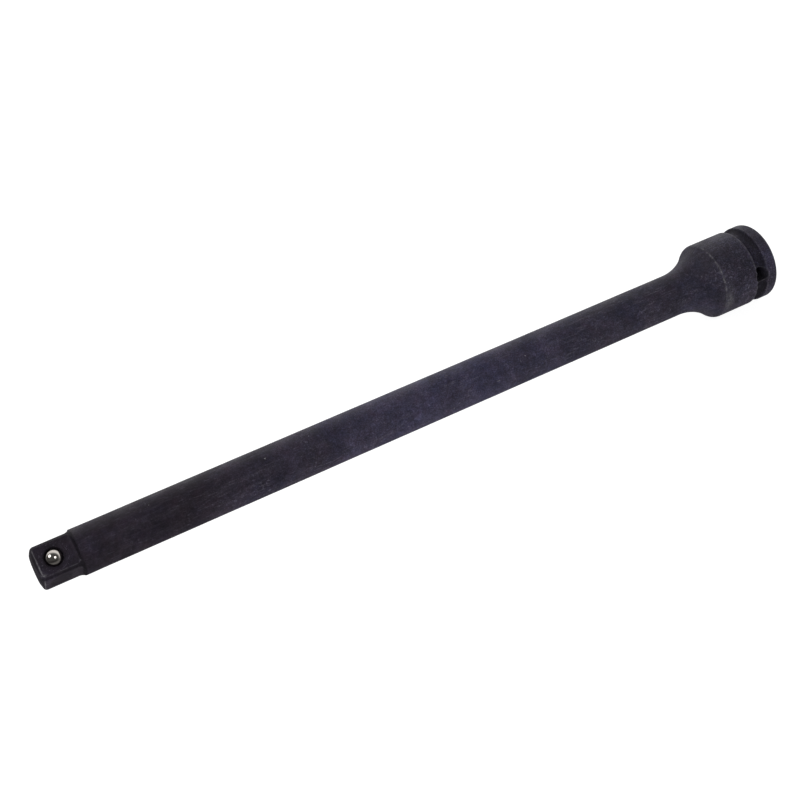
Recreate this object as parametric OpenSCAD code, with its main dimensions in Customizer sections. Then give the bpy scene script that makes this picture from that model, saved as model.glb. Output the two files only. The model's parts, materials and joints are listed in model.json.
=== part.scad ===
// Half-inch drive impact extension bar, 300 mm long.
// The bar lies along X: drive square at the origin, socket end at +X. Millimetres, +Z up.

/* [Bar] */
// Overall length, from the tip of the drive square to the socket face
bar_length = 300; // [150:5:450]
// Diameter of the round shaft
shaft_d = 16.4; // [16.2:0.1:18]

/* [Drive square] */
// Width of the drive square across its flats
square_w = 12.6; // [12.4:0.05:12.7]
// Length of the flats, from the tip to where their run-out begins
flat_length = 12.7; // [12:0.1:16]
// Radius of the run-out that each flat climbs out of the bar on
runout_r = 2; // [2:0.1:4]
// Length of the bevel that leads each flat into a socket
lead_length = 1; // [0.5:0.1:1.5]
// Diameter of the flat face at the tip
tip_face_d = 10.2; // [9:0.1:10.5]
// Length of the shallow cone around that face
tip_cone_length = 0.55; // [0.3:0.05:0.8]
// Width of the 45 degree bevel between that cone and the corners of the square
tip_bevel = 1; // [0.6:0.1:1.4]

/* [Detent] */
// Diameter of the detent ball
ball_d = 6.35; // [5.8:0.05:6.4]
// Distance from the tip to the ball's centre, along the bar
ball_x = 6.6; // [6:0.1:8]
// How far the ball stands out of its flat when nothing presses on it
ball_proud = 1.5; // [1.2:0.1:1.7]
// Turn of the ball's flat about the bar, from facing forward towards up
ball_turn = 45; // [0:1:90]
// Radial gap between the ball and its pocket
ball_gap = 0.05; // [0.03:0.01:0.08]
// Depth of the ball pocket below the flat
pocket_depth = 9.4; // [9:0.1:10]
// Wire diameter of the detent spring
wire_d = 0.6; // [0.5:0.05:0.7]
// Number of coils in the detent spring
spring_coils = 4; // [3:1:5]

/* [Socket head] */
// Diameter of the socket head
head_d = 29.8; // [28:0.1:32]
// Length of the socket head, from its shoulder to the socket face
head_length = 24.4; // [22:0.1:30]
// Radius of the hollow sweep from the shaft up to the head
sweep_r = 21.5; // [14:0.5:24]
// Radius of the rounded shoulder at the front of the head
shoulder_r = 2.2; // [2:0.1:4]
// Radius of the rounded edge around the socket face
face_round = 1.7; // [1:0.1:2.2]

/* [Ring groove and pin hole] */
// Distance from the socket face to the middle of the groove
groove_back = 7.6; // [7:0.1:8.5]
// Width of the groove at the surface of the head
groove_w = 5; // [4:0.1:5.5]
// Depth of the groove
groove_depth = 2.2; // [1.5:0.1:2.4]
// Diameter of the pin hole through both walls of the head
pin_hole_d = 5.9; // [4.5:0.1:6]

/* [Drive socket] */
// Width of the square socket across its flats
socket_w = 12.85; // [12.75:0.05:13]
// Depth of the square socket
socket_depth = 16.5; // [15.5:0.5:18]
// Radius in the corners of the square socket
socket_corner_r = 0.8; // [0.5:0.1:1.2]
// Diameter of the bevelled mouth at the socket face
mouth_d = 19.2; // [18.6:0.1:21]
// Diameter of the round relief at the bottom of the socket
relief_d = 13.4; // [13:0.1:14]
// Length of that relief
relief_length = 2; // [1:0.5:4]

/* [Hidden] */

fine = 128;
small = 48;
over = 1;

shaft_r = shaft_d / 2;
head_r = head_d / 2;
half_square = square_w / 2;

// Sweep from shaft to head: a hollow arc and a rounded shoulder that meet at one slope
sweep_turn = acos(1 - (head_r - shaft_r) / (sweep_r + shoulder_r));
shoulder_x = bar_length - head_length;
sweep_x = shoulder_x - (sweep_r + shoulder_r) * sin(sweep_turn);
meet_r = shaft_r + sweep_r * (1 - cos(sweep_turn));
meet_x = sweep_x + sweep_r * sin(sweep_turn);

// Groove: part of a circle that gives its width and depth at the surface
groove_arc_r = (pow(groove_w / 2, 2) + pow(groove_depth, 2)) / (2 * groove_depth);
groove_x = bar_length - groove_back;

// Detent pocket, measured below the flat: the lip is where the mouth is narrowest
ball_r = ball_d / 2;
pocket_r = ball_r + ball_gap;
ball_below = ball_r - ball_proud;
lip_above_ball = 1;
lip_gap = 0.03;
lip_r = sqrt(pow(ball_r, 2) - pow(lip_above_ball, 2)) + lip_gap;
lip_depth = ball_below - lip_above_ball;
lip_length = 0.5;
mouth_r = lip_r + 0.35;
drill_point = 1;

// Spring, measured below the flat: its top coil cradles the ball, its last coil sits on the bottom
spring_r = 2.1;
spring_gap = 0.02;
first_coil = ball_below + sqrt(pow(ball_r + wire_d / 2 + spring_gap, 2) - pow(spring_r, 2));
last_coil = pocket_depth - spring_gap - wire_d / 2;

cone_point = relief_d / 2 / tan(59);

// Lays a solid that was made along Z down along X
module along_bar() {
    rotate([0, 90, 0]) children();
}

// Puts a solid that was made pointing into -Z on the ball's flat, pointing into the bar
module on_ball_flat() {
    rotate([90 - ball_turn, 0, 0]) translate([ball_x, 0, half_square]) children();
}

// Half outline of the bar: radius across, distance from the tip upwards
module bar_outline() {
    polygon([
        [0, 0],
        [tip_face_d / 2, 0],
        [shaft_r - tip_bevel, tip_cone_length],
        [shaft_r, tip_cone_length + tip_bevel],
        [shaft_r, sweep_x + over],
        [0, sweep_x + over]
    ]);
    difference() {
        polygon([
            [0, sweep_x],
            [shaft_r, sweep_x],
            [meet_r, meet_x],
            [head_r - shoulder_r, shoulder_x],
            [0, shoulder_x]
        ]);
        translate([shaft_r + sweep_r, sweep_x]) circle(r = sweep_r, $fn = 4 * fine);
    }
    translate([head_r - shoulder_r, shoulder_x]) circle(r = shoulder_r, $fn = small);
    translate([0, shoulder_x]) square([head_r, head_length - face_round]);
    translate([0, shoulder_x]) square([head_r - face_round, head_length]);
    translate([head_r - face_round, bar_length - face_round]) circle(r = face_round, $fn = small);
}

// Outline, seen from the side, of what is cut away above one flat
module flat_cut_outline() {
    translate([lead_length, half_square]) square([flat_length - lead_length, shaft_r]);
    polygon([
        [-over, half_square - lead_length - over],
        [lead_length + over, half_square + over],
        [lead_length + over, 2 * shaft_r],
        [-over, 2 * shaft_r]
    ]);
    intersection() {
        translate([flat_length, half_square + runout_r]) circle(r = runout_r, $fn = 2 * small);
        translate([flat_length - over, half_square]) square([runout_r + over, 2 * runout_r]);
    }
}

// The four cuts that leave the drive square
module square_cuts() {
    for (turn = [0:90:270])
        rotate([turn - ball_turn, 0, 0])
            rotate([90, 0, 0])
                linear_extrude(height = 2 * shaft_d, center = true) flat_cut_outline();
}

// Blind hole for the ball and its spring, with a narrow lip that keeps the ball in
module ball_pocket() {
    on_ball_flat() rotate_extrude($fn = fine)
        polygon([
            [0, -pocket_depth - drill_point],
            [pocket_r, -pocket_depth],
            [pocket_r, -lip_depth - lip_length],
            [lip_r, -lip_depth],
            [mouth_r, 0],
            [mouth_r, over],
            [0, over]
        ]);
}

// Square with rounded corners
module rounded_square(width, corner) {
    inner = width - 2 * corner;
    square([width, inner], center = true);
    square([inner, width], center = true);
    for (x = [-1, 1], y = [-1, 1])
        translate([x, y] * inner / 2) circle(r = corner, $fn = small);
}

// Square drive socket with its bevelled mouth and the drilled relief behind it
module drive_socket() {
    socket_bottom = bar_length - socket_depth;
    along_bar() {
        translate([0, 0, socket_bottom])
            linear_extrude(height = socket_depth + over) rounded_square(socket_w, socket_corner_r);
        rotate_extrude($fn = fine)
            polygon([
                [0, socket_bottom - relief_length - cone_point],
                [relief_d / 2, socket_bottom - relief_length],
                [relief_d / 2, socket_bottom + over],
                [0, socket_bottom + over]
            ]);
        rotate_extrude($fn = fine)
            polygon([
                [0, bar_length - mouth_d / 2],
                [mouth_d / 2, bar_length],
                [mouth_d / 2 + over, bar_length + over],
                [0, bar_length + over]
            ]);
    }
}

// Round-bottomed groove for a rubber retaining ring
module ring_groove() {
    along_bar() rotate_extrude($fn = fine)
        translate([head_r - groove_depth + groove_arc_r, groove_x])
            circle(r = groove_arc_r, $fn = 2 * small);
}

// Cross hole for a retaining pin, through both walls of the head
module pin_hole() {
    translate([groove_x, 0, 0]) rotate([90, 0, 0])
        cylinder(h = 2 * head_d, r = pin_hole_d / 2, center = true, $fn = fine);
}

// One-piece forged bar: drive square, shaft and socket head
module extension_bar() {
    color([0.13, 0.12, 0.15]) difference() {
        along_bar() rotate_extrude($fn = fine) bar_outline();
        square_cuts();
        ball_pocket();
        drive_socket();
        ring_groove();
        pin_hole();
    }
}

// Hardened ball that clicks into the driven socket
module detent_ball() {
    color([0.85, 0.83, 0.8]) on_ball_flat()
        translate([0, 0, -ball_below]) sphere(r = ball_r, $fn = 64);
}

// Compression spring under the ball, drawn as a stack of closed rings with one post of wire
module detent_spring() {
    pitch = (last_coil - first_coil) / (spring_coils - 1);
    color([0.6, 0.6, 0.6]) on_ball_flat() {
        for (coil = [0:spring_coils - 1])
            translate([0, 0, -first_coil - coil * pitch])
                rotate_extrude($fn = small) translate([spring_r, 0]) circle(d = wire_d, $fn = 16);
        translate([spring_r, 0, -last_coil])
            cylinder(h = last_coil - first_coil, d = wire_d * 0.8, $fn = 16);
    }
}

extension_bar();
detent_ball();
detent_spring();
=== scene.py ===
"""Looks of a half-inch impact extension bar: forged black bar, polished detent ball and its spring.

The bar lies along X with its drive square at the origin. Lengths are in millimetres until a mesh is made.
"""
import json
import math

import bpy
from mathutils import Matrix, Vector, noise


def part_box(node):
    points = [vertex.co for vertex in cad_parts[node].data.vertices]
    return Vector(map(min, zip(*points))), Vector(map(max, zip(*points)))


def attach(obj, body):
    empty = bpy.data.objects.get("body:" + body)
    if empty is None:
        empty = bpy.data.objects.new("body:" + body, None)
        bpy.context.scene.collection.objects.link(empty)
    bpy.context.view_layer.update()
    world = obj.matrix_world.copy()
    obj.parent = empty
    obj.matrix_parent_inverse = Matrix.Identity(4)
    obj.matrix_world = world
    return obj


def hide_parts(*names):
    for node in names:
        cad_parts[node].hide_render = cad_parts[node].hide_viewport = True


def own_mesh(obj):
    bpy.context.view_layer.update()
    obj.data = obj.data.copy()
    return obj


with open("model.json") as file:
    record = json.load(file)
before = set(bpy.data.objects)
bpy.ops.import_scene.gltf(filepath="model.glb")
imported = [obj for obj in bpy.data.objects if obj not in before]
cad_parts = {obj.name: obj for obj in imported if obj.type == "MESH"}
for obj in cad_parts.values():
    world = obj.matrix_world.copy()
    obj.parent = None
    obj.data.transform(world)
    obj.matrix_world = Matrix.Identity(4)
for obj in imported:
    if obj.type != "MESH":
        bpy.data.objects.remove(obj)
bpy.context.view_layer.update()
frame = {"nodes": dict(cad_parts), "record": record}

MM = 0.001
MOUNTS = {mount["name"]: mount for mount in frame["record"]["mounts"]}


def node_box(name):
    """A CAD node's lowest and highest corners, in millimetres."""
    low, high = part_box(name)
    return [value / MM for value in low], [value / MM for value in high]


# Places taken from the frame
BAR_LOW, BAR_HIGH = node_box("extension_bar")
BALL_LOW, BALL_HIGH = node_box("detent_ball")
LENGTH = BAR_HIGH[0]
HEAD_R = BAR_HIGH[1]
SHAFT_R = MOUNTS["shank"]["dims"]["r_mm"]
SHAFT_END = MOUNTS["shank"]["pos_m"][0] / MM + MOUNTS["shank"]["dims"]["length_mm"] / 2
PIN_R = MOUNTS["pin_hole"]["dims"]["r_mm"]
PIN_X = MOUNTS["pin_hole"]["pos_m"][0] / MM
BALL_R = (BALL_HIGH[0] - BALL_LOW[0]) / 2
BALL_X = (BALL_HIGH[0] + BALL_LOW[0]) / 2
BALL_OUT = math.hypot((BALL_HIGH[1] + BALL_LOW[1]) / 2, (BALL_HIGH[2] + BALL_LOW[2]) / 2)
BALL_ANGLE = math.degrees(math.atan2(BALL_LOW[2] + BALL_HIGH[2], -BALL_LOW[1] - BALL_HIGH[1]))
ball_turn = math.radians(BALL_ANGLE)
BALL_CENTRE = Vector((BALL_X, 0, 0))
BALL_OUTWARD = Vector((0, -math.cos(ball_turn), math.sin(ball_turn)))
BALL_ACROSS = Vector((0, math.sin(ball_turn), math.cos(ball_turn)))

# Drive square
HALF_SQUARE = 6.3
LEAD = 1.0
FLAT_END = 12.7
RUNOUT_R = 2.0
TIP_FACE_R = 5.1
TIP_CONE = 0.55
TIP_BEVEL = 1.0

# Detent pocket: radii, and depths below the flat
BALL_BELOW = HALF_SQUARE - BALL_OUT
LIP_DEPTH = BALL_BELOW - 1.0
LIP_R = 3.045
MOUTH_R = 3.4
POCKET_R = 3.225
POCKET_DEPTH = 9.4

# Socket head
SHOULDER_R = 2.2
SWEEP_R = 21.5
FACE_ROUND = 1.7
SWEEP_TURN = math.acos(1 - (HEAD_R - SHAFT_R) / (SWEEP_R + SHOULDER_R))
SHOULDER_X = SHAFT_END + (SWEEP_R + SHOULDER_R) * math.sin(SWEEP_TURN)
OUTSIDE_R = 9.7
GROOVE_W = 5.0
GROOVE_DEPTH = 2.2
SOCKET_HALF = 6.425
SOCKET_CORNER = 0.8
SOCKET_DEPTH = 16.5
SOCKET_MOUTH_R = 9.6
RELIEF_R = 6.7
RELIEF_LENGTH = 2.0
DRILL_HALF_ANGLE = 59

# Spring
SPRING_R = 2.1
SPRING_WIRE = 0.6
SPRING_TURNS = 5
SPRING_STEPS = 28
SPRING_SIDES = 12

# Mesh: the bar is rings of columns, with a window filled by a round patch at each hole
HALF_QUARTER = 24
QUARTER = 2 * HALF_QUARTER
COLUMNS = 4 * QUARTER
EDGE = 0.16
TIP_SKIN = 0.0005
TIP_ROWS = [0.3, 0.45, 0.6, 0.7, 0.8, 0.9, 1.0, 1.1, 1.25, 1.5, 1.9]
RUNOUT_ROWS = [FLAT_END - 1.4, FLAT_END - 0.9, FLAT_END - 0.4]
SHOULDER_ROWS = [0.0, 0.03, 0.08, 0.16]
SHAFT_ROWS = 140
SHAFT_START = FLAT_END + RUNOUT_R + 0.46
HEAD_STEP = 0.7
FACE_INNER_R = 12.8
PIN_COLUMNS = 8
PIN_WINDOW = 4.0
BEVEL_START = 1.2
BEVEL_STEP = 0.28
BEVEL_ROWS = 9
INNER_WINDOW = (3.9, -3.6)
INNER_ROWS = (1.2, 2.6, 4.0)
BALL_COLUMNS = 13
BALL_WINDOW = 4.25
BALL_ROWS = 28
PATCH_RINGS = 14

# Hammered unevenness of the forged skin
FORGED_DEPTH = 0.06
FORGED_LENGTH = 9.0


# ---------------------------------------------------------------- outlines

def arc(centre, radius, start, end, steps):
    """Points on an arc in the (x, r) plane. Angles in degrees from +x towards +r."""
    points = []
    for step in range(steps + 1):
        angle = math.radians(start + (end - start) * step / steps)
        points.append((centre[0] + radius * math.cos(angle), centre[1] + radius * math.sin(angle)))
    return points


def rounded(corners):
    """A polyline through corners (x, r, fillet radius, steps), with each filleted corner as an arc."""
    points = []
    for index, (x, r, fillet, steps) in enumerate(corners):
        here = Vector((x, r))
        if fillet == 0 or index in (0, len(corners) - 1):
            points.append((x, r))
            continue
        back = (Vector(corners[index - 1][:2]) - here).normalized()
        ahead = (Vector(corners[index + 1][:2]) - here).normalized()
        half = back.angle(ahead) / 2
        middle = here + (back + ahead).normalized() * fillet / math.sin(half)
        start = here + back * fillet / math.tan(half) - middle
        turn = math.atan2(start.x * (here - middle).y - start.y * (here - middle).x, start.dot(here - middle))
        for step in range(steps + 1):
            angle = 2 * turn * step / steps
            points.append((
                middle.x + start.x * math.cos(angle) - start.y * math.sin(angle),
                middle.y + start.x * math.sin(angle) + start.y * math.cos(angle),
            ))
    return points


def divided(points, longest):
    """The same polyline with no step longer than longest."""
    result = [points[0]]
    for (x0, r0), (x1, r1) in zip(points, points[1:]):
        length = math.hypot(x1 - x0, r1 - r0)
        if length < 1e-4:
            continue
        steps = max(1, math.ceil(length / longest))
        for step in range(1, steps + 1):
            result.append((x0 + (x1 - x0) * step / steps, r0 + (r1 - r0) * step / steps))
    return result


def along(points, x):
    """The polyline's r at x, where x grows along it."""
    if x <= points[0][0]:
        return points[0][1]
    for (x0, r0), (x1, r1) in zip(points, points[1:]):
        if x <= x1:
            return r0 + (r1 - r0) * (x - x0) / max(x1 - x0, 1e-9)
    return points[-1][1]


def smooth_min(a, b, width):
    """The smaller of two lengths, rounded over where they meet."""
    low, gap = min(a, b), abs(a - b)
    return low - width * math.log(1 + math.exp(-min(gap / width, 50)))


def smooth_step(value):
    """0 below 0, 1 above 1, and a smooth climb between."""
    value = min(max(value, 0), 1)
    return value * value * (3 - 2 * value)


# ---------------------------------------------------------------- columns

def spread(stops):
    """Column angles over one quarter: stops are (column, degrees) from the middle of a flat to a corner."""
    half = []
    for (c0, a0), (c1, a1) in zip(stops, stops[1:]):
        half += [a0 + (a1 - a0) * step / (c1 - c0) for step in range(c1 - c0)]
    half.append(stops[-1][1])
    return [-angle for angle in reversed(half[1:])] + half[:-1]


def all_round(quarter, middle):
    """Column angles once around the bar. middle is the first quarter's middle."""
    return [middle + 90 * turn + angle for turn in range(4) for angle in quarter]


EVEN = all_round(spread([(0, 0), (HALF_QUARTER, 45)]), 45)
SQUARE = all_round(spread([(0, 0), (13, 34), (15, 36.6), (21, 39.9), (HALF_QUARTER, 45)]), BALL_ANGLE)
inner_quarters = all_round(spread([(0, 0), (8, 29.3), (14, 40), (HALF_QUARTER, 45)]), 0)
SOCKET = inner_quarters[HALF_QUARTER:] + [angle + 360 for angle in inner_quarters[:HALF_QUARTER]]


def blended(first, second, share):
    """Column angles part of the way from one set to another."""
    return [a + (b - a) * share for a, b in zip(first, second)]


# ---------------------------------------------------------------- sections

lead_outline = rounded([
    (0, HALF_SQUARE - LEAD - EDGE, 0, 0),
    (0, HALF_SQUARE - LEAD, EDGE, 6),
    (LEAD, HALF_SQUARE, 0.5, 8),
    (FLAT_END, HALF_SQUARE, 0, 0),
])
FLAT_OUTLINE = lead_outline + arc((FLAT_END, HALF_SQUARE + RUNOUT_R), RUNOUT_R, -90, 0, 40)
CORNER_OUTLINE = rounded([
    (0, 0, 0, 0),
    (0, TIP_FACE_R, 0.3, 4),
    (TIP_CONE, SHAFT_R - TIP_BEVEL, 0.4, 5),
    (TIP_CONE + TIP_BEVEL, SHAFT_R, 0.4, 5),
    (LENGTH, SHAFT_R, 0, 0),
])


def drive_radius(x, degrees):
    """Radius of the drive square and its shoulder at x and an angle about the bar."""
    turn = (degrees - BALL_ANGLE + 45) % 90 - 45
    flat = along(FLAT_OUTLINE, x) / math.cos(math.radians(turn))
    if x > FLAT_OUTLINE[-1][0]:
        flat = 2 * SHAFT_R
    return smooth_min(along(CORNER_OUTLINE, x), flat, 0.05)


def socket_square(degrees):
    """Radius of the square socket with rounded corners at an angle about the bar."""
    turn = math.radians(abs((degrees + 45) % 90 - 45))
    straight = SOCKET_HALF / math.cos(turn)
    inner = SOCKET_HALF - SOCKET_CORNER
    if straight * math.sin(turn) <= inner:
        return straight
    reach = inner * math.sqrt(2)
    off = math.pi / 4 - turn
    return reach * math.cos(off) + math.sqrt(SOCKET_CORNER ** 2 - (reach * math.sin(off)) ** 2)


# ---------------------------------------------------------------- mesh

def forged_dip(x, degrees, radius):
    """How far the forged skin lies below its true radius: none on the milled square and the turned head."""
    angle = math.radians(degrees)
    across = 2.2 * radius / FORGED_LENGTH
    spot = Vector((x / FORGED_LENGTH, across * math.cos(angle), across * math.sin(angle)))
    fade = smooth_step((x - FLAT_END - RUNOUT_R) / 6) * smooth_step((SHAFT_END + 12 - x) / 10)
    return FORGED_DEPTH * fade * (0.5 + 0.5 * noise.noise(spot))


def smooth_object(name, points, faces, material):
    """A smooth-shaded object from points in millimetres and faces."""
    mesh = bpy.data.meshes.new(name)
    mesh.from_pydata([point * MM for point in points], [], faces)
    mesh.polygons.foreach_set("use_smooth", [True] * len(mesh.polygons))
    mesh.materials.append(material)
    made = bpy.data.objects.new(name, mesh)
    bpy.context.collection.objects.link(made)
    return made


class Skin:
    """Vertices and faces of one closed mesh, built from rings of columns and round patches."""

    def __init__(self):
        self.points = []
        self.faces = []

    def add(self, point):
        self.points.append(point)
        return len(self.points) - 1

    def ring(self, angles, radii, xs):
        """One closed ring around the bar, as a list of vertex numbers."""
        numbers = []
        for degrees, radius, x in zip(angles, radii, xs):
            angle = math.radians(degrees)
            numbers.append(self.add(Vector((x, -radius * math.cos(angle), radius * math.sin(angle)))))
        return numbers

    def join(self, first, second):
        """Quads between two closed loops with the same number of vertices."""
        count = len(first)
        for index in range(count):
            after = (index + 1) % count
            self.faces.append((first[index], second[index], second[after], first[after]))

    def cap(self, loop, point):
        """A fan from a closed loop to one point."""
        middle = self.add(point)
        for index in range(len(loop)):
            self.faces.append((loop[index], middle, loop[(index + 1) % len(loop)]))

    def join_rings(self, rings, windows):
        """Quads between neighbouring rings, except in windows: first row, last row, first column, last."""
        count = len(rings[0])
        for row in range(len(rings) - 1):
            gaps = [(c0, c1) for r0, r1, c0, c1 in windows if r0 <= row < r1]
            for column in range(count):
                if any((column - c0) % count < c1 - c0 for c0, c1 in gaps):
                    continue
                after = (column + 1) % count
                self.faces.append((
                    rings[row][column], rings[row + 1][column],
                    rings[row + 1][after], rings[row][after],
                ))

    def window_loop(self, rings, window):
        """The vertices around a window, in order."""
        r0, r1, c0, c1 = window
        count = len(rings[0])
        loop = [rings[r0][c % count] for c in range(c0, c1)]
        loop += [rings[r][c1 % count] for r in range(r0, r1)]
        loop += [rings[r1][c % count] for c in range(c1, c0, -1)]
        loop += [rings[r][c0 % count] for r in range(r1, r0, -1)]
        return loop

    def object(self, name, material):
        """Makes the object, dropping vertices that no face uses."""
        used = sorted({number for face in self.faces for number in face})
        place = {number: index for index, number in enumerate(used)}
        points = [self.points[number] for number in used]
        faces = [[place[number] for number in face] for face in self.faces]
        return smooth_object(name, points, faces, material)


def paint(made, name, amount):
    """Stores amount(x, y, z), in millimetres, on every vertex, for the material to read."""
    values = [min(max(amount(*(vertex.co / MM)), 0), 1) for vertex in made.data.vertices]
    made.data.attributes.new(name, "FLOAT", "POINT").data.foreach_set("value", values)


def hole_patch(skin, loop, centre, across, outward, radius, height_at):
    """Fills a window around a round hole, and returns the loop where the hole's wall begins.

    across and outward are unit vectors square to X. height_at(x, offset) is the surface along outward.
    """
    def place(x, offset, height):
        return Vector((x, 0, 0)) + across * offset + outward * height

    spots = []
    for number in loop:
        point = skin.points[number]
        spots.append((point.x - centre, point.dot(across)))
    edge = radius + EDGE
    previous = loop
    for ring in range(1, PATCH_RINGS + 1):
        share = 1 - (1 - ring / PATCH_RINGS) ** 1.6
        numbers = []
        for du, dv in spots:
            reach = math.hypot(du, dv)
            scale = 1 + (edge / reach - 1) * share
            x, offset = centre + du * scale, dv * scale
            numbers.append(skin.add(place(x, offset, height_at(x, offset))))
        skin.join(previous, numbers)
        previous = numbers
    for step in range(1, 6):
        angle = math.radians(90 * step / 5)
        drop = EDGE * (1 - math.cos(angle))
        out = radius + EDGE * (1 - math.sin(angle))
        numbers = []
        for du, dv in spots:
            reach = math.hypot(du, dv)
            x, offset = centre + du / reach * out, dv / reach * out
            numbers.append(skin.add(place(x, offset, height_at(x, offset) - drop)))
        skin.join(previous, numbers)
        previous = numbers
    return previous


def head_outline():
    """Sweep, shoulder, groove, flange and rounded face edge, as (x, r) from the shaft to the socket face."""
    reach = math.tan(SWEEP_TURN / 2)
    groove_r = ((GROOVE_W / 2) ** 2 + GROOVE_DEPTH ** 2) / (2 * GROOVE_DEPTH)
    half_turn = math.degrees(math.asin(GROOVE_W / 2 / groove_r))
    groove_centre = (PIN_X, HEAD_R - GROOVE_DEPTH + groove_r)
    groove = arc(groove_centre, groove_r, -90 - half_turn, -90 + half_turn, 18)
    corners = [
        (SHAFT_END - 2, SHAFT_R, 0, 0),
        (SHAFT_END + SWEEP_R * reach, SHAFT_R, SWEEP_R, 26),
        (SHOULDER_X - SHOULDER_R * reach, HEAD_R, SHOULDER_R, 12),
        (PIN_X - PIN_WINDOW, HEAD_R, 0, 0),
        (*groove[0], EDGE, 5),
        *[(x, r, 0, 0) for x, r in groove[1:-1]],
        (*groove[-1], EDGE, 5),
        (PIN_X + PIN_WINDOW, HEAD_R, 0, 0),
        (LENGTH, HEAD_R, FACE_ROUND, 12),
        (LENGTH, SOCKET_MOUTH_R, 0.25, 4),
        (LENGTH - 1, SOCKET_MOUTH_R - 1, 0, 0),
    ]
    return rounded(corners)


def row_at(points, x):
    """The row of the outline nearest to x."""
    return min(range(len(points)), key=lambda row: abs(points[row][0] - x))


def drive_rings(skin, rings):
    """Tip and drive square. Returns the window that the ball's pocket fills."""
    for share in (0.25, 0.5, 0.75):
        radii = [drive_radius(TIP_SKIN, angle) * share for angle in SQUARE]
        rings.append(skin.ring(SQUARE, radii, [0] * COLUMNS))
    xs = [EDGE * (1 - math.cos(math.radians(angle))) for angle in range(0, 91, 15)] + TIP_ROWS
    first_row = len(rings) + len(xs)
    xs += [BALL_X + BALL_WINDOW * (2 * step / BALL_ROWS - 1) for step in range(BALL_ROWS + 1)]
    xs += RUNOUT_ROWS
    xs += [FLAT_END + RUNOUT_R * math.sin(math.radians(angle)) for angle in range(0, 88, 4)]
    xs += [FLAT_END + RUNOUT_R + step for step in SHOULDER_ROWS]
    for x in xs:
        radii = [drive_radius(max(x, TIP_SKIN), angle) for angle in SQUARE]
        rings.append(skin.ring(SQUARE, radii, [x] * COLUMNS))
    last_row = first_row + BALL_ROWS
    return first_row, last_row, HALF_QUARTER - BALL_COLUMNS, HALF_QUARTER + BALL_COLUMNS


def shaft_rings(skin, rings):
    """Shaft, whose columns spread evenly round it as they leave the square."""
    last_x = SHAFT_END - 2
    for step in range(SHAFT_ROWS):
        x = SHAFT_START + (last_x - SHAFT_START) * (step / SHAFT_ROWS) ** 1.12
        angles = blended(SQUARE, EVEN, smooth_step((x - SHAFT_START) / 14))
        radii = [SHAFT_R - forged_dip(x, angle, SHAFT_R) for angle in angles]
        rings.append(skin.ring(angles, radii, [x] * COLUMNS))


def pin_windows(low_row, high_row):
    """The windows at the bar's front and back that the pin hole fills."""
    return [(low_row, high_row, middle - PIN_COLUMNS, middle + PIN_COLUMNS) for middle in (0, 2 * QUARTER)]


def head_rings(skin, rings, outline):
    """Sweep, head and socket face. Returns the windows of the pin hole's outer mouths."""
    first_row = len(rings)
    for x, radius in outline:
        share = smooth_step((x - (LENGTH - 0.05)) / 0.05) * smooth_step((FACE_INNER_R - radius) / 3)
        angles = blended(EVEN, SOCKET, share)
        radii = [radius - forged_dip(x, angle, radius) for angle in angles]
        rings.append(skin.ring(angles, radii, [x] * COLUMNS))
    low_row = first_row + row_at(outline, PIN_X - PIN_WINDOW)
    high_row = first_row + row_at(outline, PIN_X + PIN_WINDOW)
    return pin_windows(low_row, high_row)


def mouth_radii(x, radii):
    """The socket's radii at x, widened by its bevelled mouth."""
    cone = SOCKET_MOUTH_R - (LENGTH - x)
    return [-smooth_min(-cone, -radius, 0.04) for radius in radii]


def socket_rings(skin, rings, window_rows):
    """Mouth, square and drilled end of the socket. Returns the windows of the pin hole's inner mouths."""
    square = [socket_square(angle) for angle in SOCKET]
    for step in range(BEVEL_ROWS):
        x = LENGTH - BEVEL_START - BEVEL_STEP * step
        rings.append(skin.ring(SOCKET, mouth_radii(x, square), [x] * COLUMNS))
    first_row = len(rings)
    start, end = [PIN_X + reach for reach in INNER_WINDOW]
    for step in range(window_rows + 1):
        x = start + (end - start) * step / window_rows
        rings.append(skin.ring(SOCKET, mouth_radii(x, square), [x] * COLUMNS))
    bottom = LENGTH - SOCKET_DEPTH
    for x in [end - step for step in INNER_ROWS] + [bottom + 0.3, bottom]:
        rings.append(skin.ring(SOCKET, square, [x] * COLUMNS))
    for step in (0, RELIEF_LENGTH / 2, RELIEF_LENGTH):
        rings.append(skin.ring(SOCKET, [RELIEF_R] * COLUMNS, [bottom - step] * COLUMNS))
    deep = RELIEF_R / math.tan(math.radians(DRILL_HALF_ANGLE))
    for share in (0.75, 0.5, 0.25):
        x = bottom - RELIEF_LENGTH - deep * (1 - share)
        rings.append(skin.ring(SOCKET, [RELIEF_R * share] * COLUMNS, [x] * COLUMNS))
    skin.cap(rings[-1], Vector((bottom - RELIEF_LENGTH - deep, 0, 0)))
    return pin_windows(first_row, first_row + window_rows)


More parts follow.
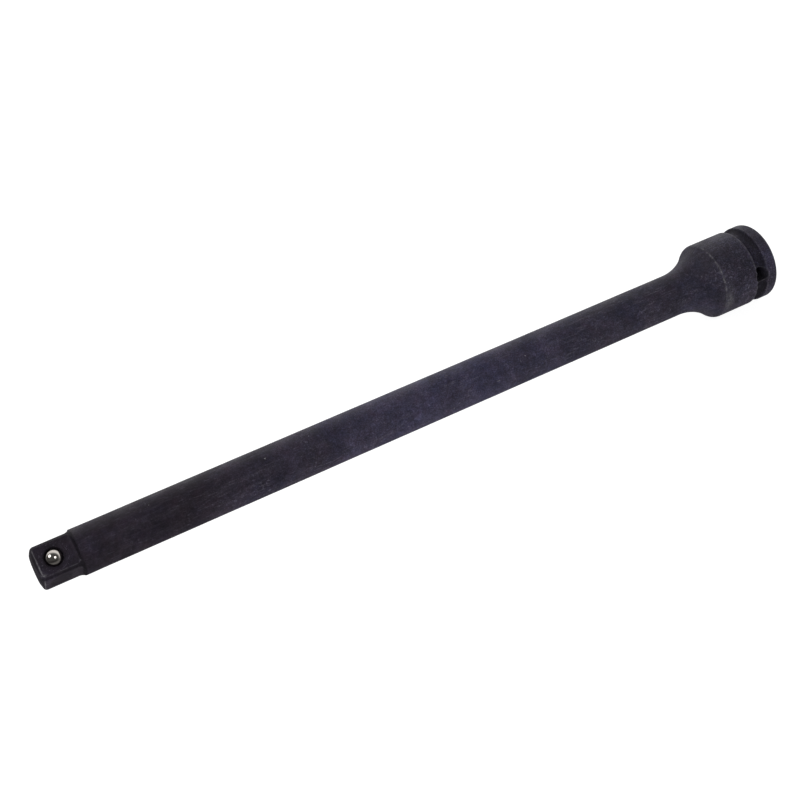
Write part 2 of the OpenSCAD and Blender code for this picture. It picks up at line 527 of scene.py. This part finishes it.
def ball_pocket(skin, loop):
    """Mouth, staked lip, wall and drilled bottom of the pocket under the ball."""
    wall = hole_patch(
        skin, loop, BALL_X, BALL_ACROSS, BALL_OUTWARD, MOUTH_R, lambda x, offset: HALF_SQUARE,
    )
    spots = [(skin.points[number].x - BALL_X, skin.points[number].dot(BALL_ACROSS)) for number in wall]
    previous = wall
    for radius, depth in (
        (LIP_R + 0.04, LIP_DEPTH - 0.08),
        (LIP_R, LIP_DEPTH),
        (LIP_R + 0.02, LIP_DEPTH + 0.06),
        (POCKET_R, LIP_DEPTH + 0.5),
        (POCKET_R, 4),
        (POCKET_R, POCKET_DEPTH),
        (POCKET_R / 2, POCKET_DEPTH + 0.5),
    ):
        middle = BALL_CENTRE + BALL_OUTWARD * (HALF_SQUARE - depth)
        numbers = []
        for du, dv in spots:
            scale = radius / math.hypot(du, dv)
            numbers.append(skin.add(middle + Vector((du * scale, 0, 0)) + BALL_ACROSS * dv * scale))
        skin.join(previous, numbers)
        previous = numbers
    skin.cap(previous, BALL_CENTRE + BALL_OUTWARD * (HALF_SQUARE - POCKET_DEPTH - 1))


def angle_round_pin(point, across):
    """A point's angle about the axis of the pin hole."""
    return math.atan2(point.dot(across), point.x - PIN_X)


def pin_hole(skin, outer_loop, inner_loop, side, outline):
    """The pin hole through one wall, from the groove to the socket. side is -1 in front and 1 behind."""
    outward = Vector((0, side, 0))
    across = Vector((0, 0, -side))
    outer = hole_patch(
        skin, outer_loop, PIN_X, across, outward, PIN_R,
        lambda x, offset: math.sqrt(along(outline, x) ** 2 - offset ** 2),
    )
    inner = hole_patch(skin, inner_loop, PIN_X, across, -outward, PIN_R, lambda x, offset: -SOCKET_HALF)
    inner.reverse()
    first = angle_round_pin(skin.points[outer[0]], across)
    gaps = [abs(angle_round_pin(skin.points[number], across) - first) for number in inner]
    start = gaps.index(min(gaps))
    inner = inner[start:] + inner[:start]
    previous = outer
    for share in (0.06, 0.2, 0.5, 0.8):
        numbers = []
        for outer_number, inner_number in zip(outer, inner):
            mixed = skin.points[outer_number].lerp(skin.points[inner_number], share)
            angle = angle_round_pin(mixed, across)
            point = Vector((PIN_X + PIN_R * math.cos(angle), 0, 0)) + across * PIN_R * math.sin(angle)
            numbers.append(skin.add(point + outward * mixed.dot(outward)))
        skin.join(previous, numbers)
        previous = numbers
    skin.join(previous, inner)


def bar_skin():
    """The whole surface of the bar: tip, drive square, shaft, head, socket and both kinds of hole."""
    skin = Skin()
    rings = []
    outline = divided(head_outline(), HEAD_STEP)
    ball_window = drive_rings(skin, rings)
    shaft_rings(skin, rings)
    outer_windows = head_rings(skin, rings, outline)
    inner_windows = socket_rings(skin, rings, outer_windows[0][1] - outer_windows[0][0])
    skin.join_rings(rings, [ball_window] + outer_windows + inner_windows)
    skin.cap(list(reversed(rings[0])), Vector((0, 0, 0)))
    ball_pocket(skin, skin.window_loop(rings, ball_window))
    for side, outer, inner in zip((-1, 1), outer_windows, inner_windows):
        pin_hole(skin, skin.window_loop(rings, outer), skin.window_loop(rings, inner), side, outline)
    return skin


# ---------------------------------------------------------------- wear, thick finish and painted shade

# Side of the head that is worn most, in degrees about the bar
CREST_MIDDLE = 35
CREST_SPREAD = 42


def bump_at(distance, width):
    """1 at no distance, falling smoothly to 0 over about twice the width."""
    return math.exp(-(distance / width) ** 2)


def turned(y, z):
    """Angle about the bar in degrees, from facing forward towards up."""
    return math.degrees(math.atan2(z, -y))


def off_flat(x, y, z):
    """How far a point lies under the nearest flat of the square, and degrees from that flat's middle."""
    turn = (turned(y, z) - BALL_ANGLE + 45) % 90 - 45
    return along(FLAT_OUTLINE, x) - math.hypot(y, z) * math.cos(math.radians(turn)), turn


def head_wear(x, r, z, degrees):
    """Bright metal on the shoulder's crest, along the groove, round the pin hole and at the face."""
    crest_side = 0.3 + 0.7 * bump_at(degrees - CREST_MIDDLE, CREST_SPREAD)
    ragged = noise.noise(Vector((0, 0, degrees / 9)))
    crest_width = 0.36 + 0.3 * ragged
    broken = 0.25 + 0.75 * smooth_step(0.5 + 2.2 * noise.noise(Vector((5, 0, degrees / 7))))
    crest = 0.95 * crest_side * broken * bump_at(x - (SHOULDER_X - 0.7) - 0.4 * ragged, crest_width)
    rub = 0.42 * bump_at(degrees + 20, 24) * bump_at(x - SHOULDER_X - 0.9, 1.7)
    front = 0.55 * bump_at(math.hypot(x - (PIN_X - GROOVE_W / 2), r - HEAD_R), 0.24)
    back = 0.2 * bump_at(math.hypot(x - (PIN_X + GROOVE_W / 2), r - HEAD_R), 0.24)
    face = 0.4 * bump_at(x - (LENGTH - 0.45), 0.5)
    hole = 0.25 * bump_at(math.hypot(x - PIN_X, z) - PIN_R - EDGE, 0.2)
    return max(crest, rub, front, back, face, hole)


def edge_wear(x, y, z):
    """How much the black finish is rubbed off the edges."""
    r = math.hypot(y, z)
    if r > OUTSIDE_R:
        return head_wear(x, r, z, turned(y, z))
    if x > SHAFT_END:
        return 0.35 * bump_at(x - LENGTH, 0.6)
    if x > FLAT_END + RUNOUT_R / 2:
        return 0
    to_flat, turn = off_flat(x, y, z)
    to_corner = along(CORNER_OUTLINE, x) - r
    fade = 1 - smooth_step((x - FLAT_END + 0.5) / 1.5)
    edge = 0.4 * fade * bump_at(max(to_flat, to_corner), 0.11) if x > 0.4 else 0
    if 0 < turn:
        edge *= 0.12
    bevel = 0.9 * bump_at(x - LEAD, 0.19) * bump_at(to_flat, 0.3)
    tip = 0.1 * bump_at(x, 0.15) * bump_at(max(HALF_SQUARE - LEAD - r, 0), 0.3)
    nick = bump_at(math.hypot((x - LEAD - 0.2) / 1.4, (turn + 37) / 5), 0.6) * bump_at(to_flat, 0.35)
    return max(edge, bevel, tip, nick)


def deposit_and_shade(x, y, z):
    """Darker patches, of thick finish and of painted shade: thick finish on the lead bevel, a darker ring
    round the pocket's mouth, and painted shade on the run-outs, in the groove and down the pin hole.
    """
    r = math.hypot(y, z)
    if x > SHAFT_END:
        beside_groove = abs(x - PIN_X) >= GROOVE_W / 2 or r <= OUTSIDE_R
        # painted shade: the whole groove darkened, more on its back wall and its underside, and the pin hole
        # darkened
        in_groove = 0 if beside_groove else smooth_step((HEAD_R - 0.25 - r) / 0.5)
        shaded = max(0.5 * smooth_step((x - PIN_X - 0.4) / 1.2), 0.65 * smooth_step((-turned(y, z) + 5) / 30))
        pin_hole_shade = smooth_step((PIN_R + 0.05 - math.hypot(x - PIN_X, z)) / 0.1) if abs(y) > SOCKET_HALF else 0
        return max(in_groove * (0.35 + shaded), pin_hole_shade)
    if x > FLAT_END + RUNOUT_R + 0.2:
        return 0
    to_flat, turn = off_flat(x, y, z)
    on_flat = bump_at(max(to_flat, 0), 0.3)
    bevel = 0.75 * on_flat * smooth_step((LEAD - 0.1 - x) / 0.25)
    # painted shade on the run-outs
    runout_shade = 0.95 * on_flat * smooth_step((x - FLAT_END - 1.0) / 0.5)
    corner = (0.95 if turn > 0 else 0.5) * smooth_step((to_flat - 0.12) / 0.25)
    mouth = 0.6 * on_flat * bump_at(max(math.hypot(x - BALL_X, turn / 9.5) - MOUTH_R, 0), 0.5)
    tip = 0.35 * smooth_step((LEAD - x) / 0.3)
    return max(bevel, runout_shade, corner, mouth, tip)


def milled(x, y, z):
    """1 on the milled flats, 0 on the turned and forged skin."""
    if x > FLAT_END + RUNOUT_R or math.hypot(y, z) > SHAFT_R:
        return 0
    return bump_at(max(off_flat(x, y, z)[0], 0), 0.25)


# ---------------------------------------------------------------- materials

class Nodes:
    """A node tree, with short ways to add nodes."""

    def __init__(self, tree):
        self.tree = tree

    def node(self, kind, **settings):
        made = self.tree.nodes.new(kind)
        for key, value in settings.items():
            setattr(made, key, value)
        return made

    def put(self, socket, value):
        """A number, colour or another node's output into a socket."""
        if isinstance(value, bpy.types.NodeSocket):
            self.tree.links.new(value, socket)
        elif isinstance(value, tuple) and len(value) == 3 and socket.type == "RGBA":
            socket.default_value = (*value, 1)
        else:
            socket.default_value = value

    def math(self, operation, first, second=0.0, clamp=False):
        made = self.node("ShaderNodeMath", operation=operation, use_clamp=clamp)
        self.put(made.inputs[0], first)
        self.put(made.inputs[1], second)
        return made.outputs[0]

    def ramp(self, value, low, high, to_low=0.0, to_high=1.0):
        """Maps low..high to to_low..to_high, held at both ends."""
        made = self.node("ShaderNodeMapRange", interpolation_type="SMOOTHSTEP")
        self.put(made.inputs["Value"], value)
        made.inputs["From Min"].default_value = low
        made.inputs["From Max"].default_value = high
        made.inputs["To Min"].default_value = to_low
        made.inputs["To Max"].default_value = to_high
        return made.outputs["Result"]

    def part(self, vector, axis):
        """One axis of a vector."""
        made = self.node("ShaderNodeSeparateXYZ")
        self.put(made.inputs[0], vector)
        return made.outputs[axis]


class Shader(Nodes):
    """A material's node tree, with its textures placed in millimetres on the object."""

    def __init__(self, name):
        self.material = bpy.data.materials.new(name)
        self.material.use_nodes = True
        super().__init__(self.material.node_tree)
        self.main = self.tree.nodes["Principled BSDF"]
        place = self.node("ShaderNodeVectorMath", operation="SCALE")
        self.put(place.inputs[0], self.node("ShaderNodeTexCoord").outputs["Object"])
        place.inputs["Scale"].default_value = 1 / MM
        self.mm = place.outputs[0]

    def stretched(self, scale, turn=(0, 0, 0)):
        """Object coordinates in millimetres, scaled on each axis and turned."""
        made = self.node("ShaderNodeMapping")
        self.put(made.inputs["Vector"], self.mm)
        made.inputs["Scale"].default_value = scale
        made.inputs["Rotation"].default_value = turn
        return made.outputs[0]

    def noise(self, size, detail=3.0, rough=0.55, vector=None, warp=0.0):
        """Soft noise, 0 to 1, with features about size millimetres across."""
        made = self.node("ShaderNodeTexNoise")
        self.put(made.inputs["Vector"], vector or self.mm)
        made.inputs["Scale"].default_value = 1 / size
        made.inputs["Detail"].default_value = detail
        made.inputs["Roughness"].default_value = rough
        made.inputs["Distortion"].default_value = warp
        return made.outputs["Fac"]

    def spots(self, size, radius, share, scale=(1, 1, 1)):
        """Small specks: one in each cell about size across, kept in a share of the cells."""
        made = self.node("ShaderNodeTexVoronoi")
        self.put(made.inputs["Vector"], self.stretched(scale, (0.4, 0.5, 0.3)))
        made.inputs["Scale"].default_value = 1 / size
        near = self.ramp(made.outputs["Distance"], radius / size, radius / size * 0.4)
        pick = self.node("ShaderNodeSeparateColor")
        self.put(pick.inputs["Color"], made.outputs["Color"])
        kept = self.math("LESS_THAN", pick.outputs["Red"], share)
        return self.math("MULTIPLY", near, kept)

    def mix(self, share, first, second, blend="MIX"):
        made = self.node("ShaderNodeMix", data_type="RGBA", blend_type=blend)
        self.put(made.inputs["Factor"], share)
        self.put(made.inputs[6], first)
        self.put(made.inputs[7], second)
        return made.outputs[2]

    def colours(self, value, stops):
        """A colour ramp: stops are (place, colour)."""
        made = self.node("ShaderNodeValToRGB")
        self.put(made.inputs["Fac"], value)
        band = made.color_ramp.elements
        while len(band) < len(stops):
            band.new(0.5)
        for element, (place, colour) in zip(band, stops):
            element.position = place
            element.color = (*colour, 1)
        return made.outputs["Color"]

    def attribute(self, name):
        made = self.node("ShaderNodeAttribute", attribute_type="GEOMETRY", attribute_name=name)
        return made.outputs["Fac"]

    def bump(self, height, depth, below=None):
        """Bumps up to depth millimetres high, on top of another bump."""
        made = self.node("ShaderNodeBump")
        made.inputs["Strength"].default_value = 1.0
        made.inputs["Distance"].default_value = depth * MM
        self.put(made.inputs["Height"], height)
        if below is not None:
            self.put(made.inputs["Normal"], below)
        return made.outputs["Normal"]


# Colours of the finish
WARM = (0.0178, 0.0130, 0.0205)
MAUVE = (0.0280, 0.0232, 0.0385)
VIOLET = (0.0400, 0.0355, 0.0645)
SLATE = (0.0265, 0.0232, 0.0375)
PALE = (0.135, 0.122, 0.158)
# darkest finish colour, also the colour of painted shade in the groove, pin hole and run-outs
DEPOSIT_AND_SHADE = (0.0060, 0.0050, 0.0075)
BARE = (0.30, 0.29, 0.31)
SPECK = (0.270, 0.261, 0.279)

# Band of nicks round the head
NICK_START = 282.0
NICK_END = 287.0


def base_tone(shader, along_x):
    """The finish's colour: warm at the drive end, violet in the middle, slate at the head, and mottled."""
    drift = shader.math("SUBTRACT", shader.noise(45, 2.0), 0.5)
    place = shader.math("DIVIDE", along_x, LENGTH)
    place = shader.math("ADD", place, shader.math("MULTIPLY", drift, 0.12))
    base = shader.colours(place, [
        (0.0, WARM), (0.18, WARM), (0.31, MAUVE), (0.44, VIOLET),
        (0.58, VIOLET), (0.76, SLATE), (1.0, SLATE),
    ])
    base = shader.mix(1.0, base, shader.colours(shader.noise(11, 4.0, 0.6, warp=0.4), [
        (0.25, (0.60, 0.60, 0.62)), (0.5, (1.0, 1.0, 1.0)), (0.78, (1.6, 1.55, 1.55)),
    ]), "MULTIPLY")
    base = shader.mix(1.0, base, shader.colours(shader.noise(1.9, 3.0, 0.6, warp=0.5), [
        (0.3, (0.76, 0.76, 0.76)), (0.5, (1.0, 1.0, 1.0)), (0.7, (1.30, 1.30, 1.30)),
    ]), "MULTIPLY")
    base = shader.mix(1.0, base, shader.colours(shader.noise(13, 3.0, 0.6, warp=0.3), [
        (0.34, (1.05, 1.0, 0.98)), (0.5, (1.0, 1.0, 1.0)), (0.66, (0.93, 0.95, 1.06)),
    ]), "MULTIPLY")
    return shader.mix(1.0, base, shader.colours(shader.noise(4.0, 5.0, 0.75), [
        (0.32, (1.11, 0.96, 0.98)), (0.5, (1.0, 1.0, 1.0)), (0.68, (0.92, 1.0, 1.05)),
    ]), "MULTIPLY")


def pale_marks(shader, along_x):
    """Fibres and hairlines along the bar, slanting scratches, rubbed patches and faint turned rings."""
    def patch(size, low, high):
        return shader.ramp(shader.noise(size, 2.0), low, high)

    def lines(scale, turn, low, high, warp=0.3):
        return shader.ramp(shader.noise(1.0, 3.0, 0.6, shader.stretched(scale, turn), warp), low, high)

    marks = 0.0
    for mark, where, strength in (
        (lines((0.06, 1.1, 1.1), (0, 0, 0), 0.52, 0.76), patch(24, 0.40, 0.62), 0.30),
        (lines((0.12, 3.2, 3.2), (0, 0, 0), 0.60, 0.76), patch(17, 0.46, 0.62), 0.28),
        (lines((0.22, 1.8, 1.8), (0, 0.5, 0.2), 0.54, 0.74, 0.6), patch(19, 0.46, 0.60), 0.50),
        (lines((0.22, 1.8, 1.8), (0.3, -0.6, 0.2), 0.58, 0.76, 0.8), patch(15, 0.52, 0.65), 0.42),
        (lines((0.9, 0.9, 0.9), (0, 0, 0), 0.54, 0.72, 0.6), patch(12, 0.50, 0.64), 0.50),
        (lines((2.4, 0.05, 0.05), (0, 0, 0), 0.58, 0.80), patch(31, 0.48, 0.66), 0.20),
    ):
        share = shader.math("MULTIPLY", shader.math("MULTIPLY", mark, where), strength)
        marks = shader.math("ADD", marks, share, True)

    # a band of small nicks round the head, where it is gripped and dropped
    start = shader.ramp(along_x, NICK_START, NICK_START + 0.8)
    end = shader.ramp(along_x, NICK_END, NICK_END + 0.8, 1.0, 0.0)
    nicks = lines((1.1, 0.9, 0.9), (0.2, 0, 0), 0.57, 0.70)
    nicks = shader.math("MULTIPLY", nicks, shader.math("MULTIPLY", start, end))
    return shader.math("ADD", marks, shader.math("MULTIPLY", nicks, 0.45), True)


def stake_marks(shader, flats):
    """Faint cutter arcs and small dents around the ball, where the pocket's lip was staked."""
    from_ball = shader.node("ShaderNodeVectorMath", operation="DISTANCE")
    shader.put(from_ball.inputs[0], shader.mm)
    from_ball.inputs[1].default_value = BALL_CENTRE + BALL_OUTWARD * HALF_SQUARE
    reach = from_ball.outputs["Value"]
    arcs = shader.node("ShaderNodeTexNoise", noise_dimensions="1D")
    shader.put(arcs.inputs["W"], reach)
    arcs.inputs["Scale"].default_value = 1.6
    arcs = shader.ramp(arcs.outputs["Fac"], 0.54, 0.72)
    arcs = shader.math("MULTIPLY", arcs, shader.ramp(shader.noise(2.6, 2.0), 0.45, 0.65))
    dents = shader.ramp(shader.noise(0.55, 2.0, 0.5), 0.62, 0.72)
    near = shader.ramp(reach, 6.2, 4.6)
    marks = shader.math("ADD", shader.math("MULTIPLY", arcs, 0.4), shader.math("MULTIPLY", dents, near), True)
    return shader.math("MULTIPLY", marks, flats)


def speckled(shader, base, grain, along_x):
    """Adds fine grain, coarser to the eye on the head, and bright specks."""
    grainy = shader.mix(1.0, base, shader.colours(grain, [
        (0.28, (0.2, 0.2, 0.2)), (0.5, (0.95, 0.95, 0.95)), (0.74, (3.0, 3.0, 3.05)),
    ]), "MULTIPLY")
    on_shaft = shader.ramp(along_x, 30, 85, 0.3, 0.58)
    on_head = shader.ramp(along_x, SHOULDER_X - 3, SHOULDER_X + 1, 0.0, 0.34)
    base = shader.mix(shader.math("ADD", on_shaft, on_head), base, grainy)
    specks = 0.0
    for size, radius, share, scale in (
        (2.6, 0.26, 0.14, (1, 1, 1)), (6.5, 0.42, 0.36, (0.4, 1, 1)), (9.0, 0.42, 0.4, (1, 1, 0.35)),
    ):
        specks = shader.math("ADD", shader.spots(size, radius, share, scale), specks, True)
    specks = shader.math("MULTIPLY", specks, shader.ramp(shader.noise(0.5, 2.0), 0.38, 0.55))
    return shader.mix(shader.math("MULTIPLY", specks, 0.8), base, SPECK)


def rubbed(shader):
    """How much bare metal shows: patchy, and whole where the wear is deepest."""
    wear = shader.attribute("wear")
    patchy = shader.ramp(shader.noise(0.9, 3.0, 0.65), 0.38, 0.62, 0.3, 1.0)
    broad = shader.ramp(shader.noise(5.0, 2.0), 0.3, 0.6, 0.45, 1.0)
    worn = shader.math("MULTIPLY", wear, shader.math("MULTIPLY", patchy, broad))
    return shader.math("MAXIMUM", worn, shader.ramp(wear, 0.7, 1.0))


def black_phosphate():
    """Dark manganese phosphate over forged steel: mottled, streaked along the bar and rubbed on its edges."""
    shader = Shader("black_phosphate")
    along_x = shader.part(shader.mm, "X")
    flats = shader.attribute("milled")
    stakes = stake_marks(shader, flats)
    plain = shader.math("SUBTRACT", 1.0, shader.math("MULTIPLY", flats, 0.6))
    marks = shader.math("MULTIPLY", pale_marks(shader, along_x), plain)
    marks = shader.math("MULTIPLY", marks, shader.ramp(along_x, 25, 95, 0.35, 0.85))
    grain = shader.noise(0.5, 4.0, 0.7)
    # thick finish and painted shade in the groove, pin hole and run-outs
    deposit_and_shade_amount = shader.math("MULTIPLY", shader.attribute("deposit_and_shade"), 0.72)
    worn = rubbed(shader)

    base = shader.mix(marks, base_tone(shader, along_x), PALE)
    base = shader.mix(shader.math("MULTIPLY", stakes, 0.75), base, PALE)
    base = speckled(shader, base, grain, along_x)
    # darkens to the thick finish's colour, and paints shade in the groove, pin hole and run-outs
    base = shader.mix(deposit_and_shade_amount, base, DEPOSIT_AND_SHADE)
    base = shader.mix(shader.math("MULTIPLY", worn, 0.68), base, BARE)
    shader.put(shader.main.inputs["Base Color"], base)

    rough = shader.ramp(shader.noise(6, 3.0), 0.3, 0.7, 0.46, 0.62)
    rough = shader.math("SUBTRACT", rough, shader.math("MULTIPLY", worn, 0.14))
    rough = shader.math("ADD", rough, shader.math("MULTIPLY", deposit_and_shade_amount, 0.25))
    shader.put(shader.main.inputs["Roughness"], rough)
    shader.main.inputs["Metallic"].default_value = 0.0
    shader.main.inputs["Specular IOR Level"].default_value = 0.16

    cutter = shader.noise(1.0, 2.0, 0.5, shader.stretched((3.0, 0.25, 0.25), (0.2, 0.3, 0.5)))
    normal = shader.bump(shader.noise(5.5, 3.0, 0.5), 0.14)
    normal = shader.bump(marks, 0.012, normal)
    normal = shader.bump(shader.math("MULTIPLY", cutter, flats), 0.02, normal)
    normal = shader.bump(shader.math("MULTIPLY", stakes, -1.0), 0.05, normal)
    normal = shader.bump(grain, 0.03, normal)
    shader.put(shader.main.inputs["Normal"], normal)
    return shader.material


def polished_ball():
    """Hardened ball: mirror steel with a slight straw tint, hairline scratches and a dulled patch."""
    shader = Shader("ball_steel")
    tint = shader.colours(shader.noise(2.2, 3.0, 0.6), [
        (0.3, (0.42, 0.38, 0.35)), (0.7, (0.56, 0.53, 0.50)),
    ])
    hair = shader.noise(1.0, 2.0, 0.5, shader.stretched((0.6, 9.0, 9.0), (0.4, 0.2, 0.9)))
    scratch = shader.ramp(hair, 0.64, 0.7)
    tint = shader.mix(shader.math("MULTIPLY", scratch, 0.5), tint, (0.2, 0.19, 0.18))
    shader.put(shader.main.inputs["Base Color"], tint)
    rough = shader.ramp(shader.noise(1.4, 3.0), 0.35, 0.75, 0.07, 0.15)
    rough = shader.math("ADD", rough, shader.math("MULTIPLY", scratch, 0.1))
    shader.put(shader.main.inputs["Roughness"], rough)
    shader.main.inputs["Metallic"].default_value = 1.0
    shader.put(shader.main.inputs["Normal"], shader.bump(hair, 0.004))
    return shader.material


def spring_wire():
    """Oiled spring wire: drawn lines round the wire's length and a brown-grey tone."""
    shader = Shader("spring_steel")
    tone = shader.colours(shader.noise(0.8, 3.0, 0.6), [
        (0.3, (0.22, 0.20, 0.18)), (0.7, (0.46, 0.45, 0.44)),
    ])
    shader.put(shader.main.inputs["Base Color"], tone)
    shader.put(shader.main.inputs["Roughness"], shader.ramp(shader.noise(0.5, 2.0), 0.3, 0.7, 0.24, 0.42))
    shader.main.inputs["Metallic"].default_value = 1.0
    shader.put(shader.main.inputs["Normal"], shader.bump(shader.noise(0.15, 2.0), 0.006))
    return shader.material


# ---------------------------------------------------------------- pieces

def forged_bar():
    made = bar_skin().object("forged_bar", black_phosphate())
    paint(made, "wear", edge_wear)
    paint(made, "milled", milled)
    # thick finish and painted shade, stored for the material to read
    paint(made, "deposit_and_shade", deposit_and_shade)
    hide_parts("extension_bar")
    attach(made, "bar")


def spring_coil():
    """The spring under the ball: a real coil with closed ends."""
    reach = BALL_R + SPRING_WIRE / 2 + 0.02
    top = BALL_BELOW + math.sqrt(reach ** 2 - SPRING_R ** 2)
    bottom = POCKET_DEPTH - 0.02 - SPRING_WIRE / 2
    closed = SPRING_WIRE + 0.02
    pitch = (bottom - top - 2 * closed) / (SPRING_TURNS - 2)
    steps = SPRING_STEPS * SPRING_TURNS
    points, faces = [], []
    for step in range(steps + 1):
        turns = step / SPRING_STEPS
        open_turns = min(max(turns - 1, 0), SPRING_TURNS - 2)
        closed_turns = min(turns, 1) + max(turns - SPRING_TURNS + 1, 0)
        depth = top + closed * closed_turns + pitch * open_turns
        angle = 2 * math.pi * turns
        radial = Vector((math.cos(angle), 0, 0)) + BALL_ACROSS * math.sin(angle)
        centre = BALL_CENTRE + BALL_OUTWARD * (HALF_SQUARE - depth) + radial * SPRING_R
        for side in range(SPRING_SIDES):
            around = 2 * math.pi * side / SPRING_SIDES
            off = radial * math.cos(around) + BALL_OUTWARD * math.sin(around)
            points.append(centre + off * SPRING_WIRE / 2)
    for step in range(steps):
        low, high = step * SPRING_SIDES, (step + 1) * SPRING_SIDES
        for side in range(SPRING_SIDES):
            after = (side + 1) % SPRING_SIDES
            faces.append((low + side, high + side, high + after, low + after))
    faces.append(tuple(range(SPRING_SIDES)))
    faces.append(tuple(range((steps + 1) * SPRING_SIDES - 1, steps * SPRING_SIDES - 1, -1)))
    made = smooth_object("spring_coil", points, faces, spring_wire())
    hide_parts("detent_spring")
    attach(made, "bar")
    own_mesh(made)


def detent_ball():
    """The ball keeps its CAD shape, which is exact, and gets its polished finish."""
    ball = frame["nodes"]["detent_ball"]
    steel = polished_ball()
    ball.data.materials.clear()
    ball.data.materials.append(steel)


forged_bar()
spring_coil()
detent_ball()


# ---------------------------------------------------------------- stage, light, camera

TARGET = Vector((141.43, 4.72, 2.19)) * MM
AZIMUTH = math.radians(-22.36)
ELEVATION = math.radians(26.76)
ROLL = math.radians(-12.77)
DISTANCE = 0.5424
LENS = 67.5
SENSOR = 36

FLOOR_REACH = 4.0
FLOOR_GAP = 0.0004
FLOOR_GREY = 0.3
FLOOR_GLOW = 0.95

# Light tent: its opening's direction, how much wider than high it is, and where its dark edge fades
OPENING_AZIMUTH = math.radians(-25)
OPENING_ELEVATION = math.radians(42)
OPENING_WIDTH = 0.4
OPENING_FADE = (0.25, 0.7)
UNDER_FADE = (-0.25, 0.25)
TENT_LIGHT = 1.2
TENT_DARK = 0.1
TENT_UNDER = 0.18

# Lamps: name, azimuth, elevation and watts
LAMPS = (
    ("lamp_left", math.radians(-83.7), math.radians(50.9), 4.0),
    ("lamp_right", math.radians(11.3), math.radians(34.0), 2.2),
)
LAMP_DISTANCE = 1.2
LAMP_SIZE = 0.55


def view_back(azimuth, elevation):
    """Unit vector from the object towards a viewer. Azimuth 0 looks along +Y."""
    return Vector((
        math.sin(azimuth) * math.cos(elevation),
        -math.cos(azimuth) * math.cos(elevation),
        math.sin(elevation),
    ))


def camera():
    data = bpy.data.cameras.new("camera")
    data.lens = LENS
    data.sensor_width = SENSOR
    data.clip_start = 0.01
    made = bpy.data.objects.new("camera", data)
    back = view_back(AZIMUTH, ELEVATION)
    turn = back.to_track_quat("Z", "Y") @ Matrix.Rotation(ROLL, 4, "Z").to_quaternion()
    made.matrix_world = Matrix.Translation(TARGET + back * DISTANCE) @ turn.to_matrix().to_4x4()
    bpy.context.collection.objects.link(made)
    bpy.context.scene.camera = made


def floor():
    """A plain white sweep under the bar, which is left out of reflections."""
    level = BAR_LOW[2] * MM - FLOOR_GAP
    corners = [(x * FLOOR_REACH, y * FLOOR_REACH, level) for x, y in ((-1, -1), (1, -1), (1, 1), (-1, 1))]
    mesh = bpy.data.meshes.new("floor")
    mesh.from_pydata(corners, [], [(0, 1, 2, 3)])
    material = bpy.data.materials.new("white_sweep")
    material.use_nodes = True
    main = material.node_tree.nodes["Principled BSDF"]
    main.inputs["Base Color"].default_value = (FLOOR_GREY, FLOOR_GREY, FLOOR_GREY, 1)
    main.inputs["Roughness"].default_value = 0.9
    main.inputs["Specular IOR Level"].default_value = 0.0
    main.inputs["Emission Color"].default_value = (1, 1, 1, 1)
    main.inputs["Emission Strength"].default_value = FLOOR_GLOW
    mesh.materials.append(material)
    made = bpy.data.objects.new("floor", mesh)
    made.visible_glossy = False
    bpy.context.collection.objects.link(made)


def softbox(name, azimuth, elevation, power):
    """A round area light that faces the middle of the bar."""
    data = bpy.data.lights.new(name, "AREA")
    data.shape = "DISK"
    data.size = LAMP_SIZE
    data.energy = power
    made = bpy.data.objects.new(name, data)
    back = view_back(azimuth, elevation)
    made.location = TARGET + back * LAMP_DISTANCE
    made.rotation_euler = back.to_track_quat("Z", "Y").to_euler()
    bpy.context.collection.objects.link(made)


def tent():
    """Light from all round, as in a light tent, and dimmer from below and in front, where it opens."""
    world = bpy.data.worlds.new("tent")
    bpy.context.scene.world = world
    world.use_nodes = True
    nodes = Nodes(world.node_tree)
    where = nodes.node("ShaderNodeTexCoord").outputs["Generated"]

    def towards(direction):
        made = nodes.node("ShaderNodeVectorMath", operation="DOT_PRODUCT")
        nodes.put(made.inputs[0], where)
        made.inputs[1].default_value = direction
        return made.outputs["Value"]

    front = view_back(OPENING_AZIMUTH, OPENING_ELEVATION)
    aside = nodes.math("POWER", towards(Vector((0, 0, 1)).cross(front).normalized()), 2.0)
    opening = nodes.math("ADD", nodes.math("MULTIPLY", aside, OPENING_WIDTH), towards(front))
    shade = nodes.ramp(opening, *OPENING_FADE, TENT_LIGHT, TENT_DARK)
    under = nodes.ramp(nodes.part(where, "Z"), *UNDER_FADE, TENT_UNDER, 1.0)
    seen = nodes.node("ShaderNodeLightPath").outputs["Is Camera Ray"]
    background = world.node_tree.nodes["Background"]
    nodes.put(background.inputs["Color"], (1, 1, 1))
    light = nodes.math("MAXIMUM", nodes.math("MULTIPLY", shade, under), seen)
    nodes.put(background.inputs["Strength"], light)


camera()
floor()
tent()
for lamp in LAMPS:
    softbox(*lamp)
bpy.context.scene.view_settings.view_transform = "Standard"
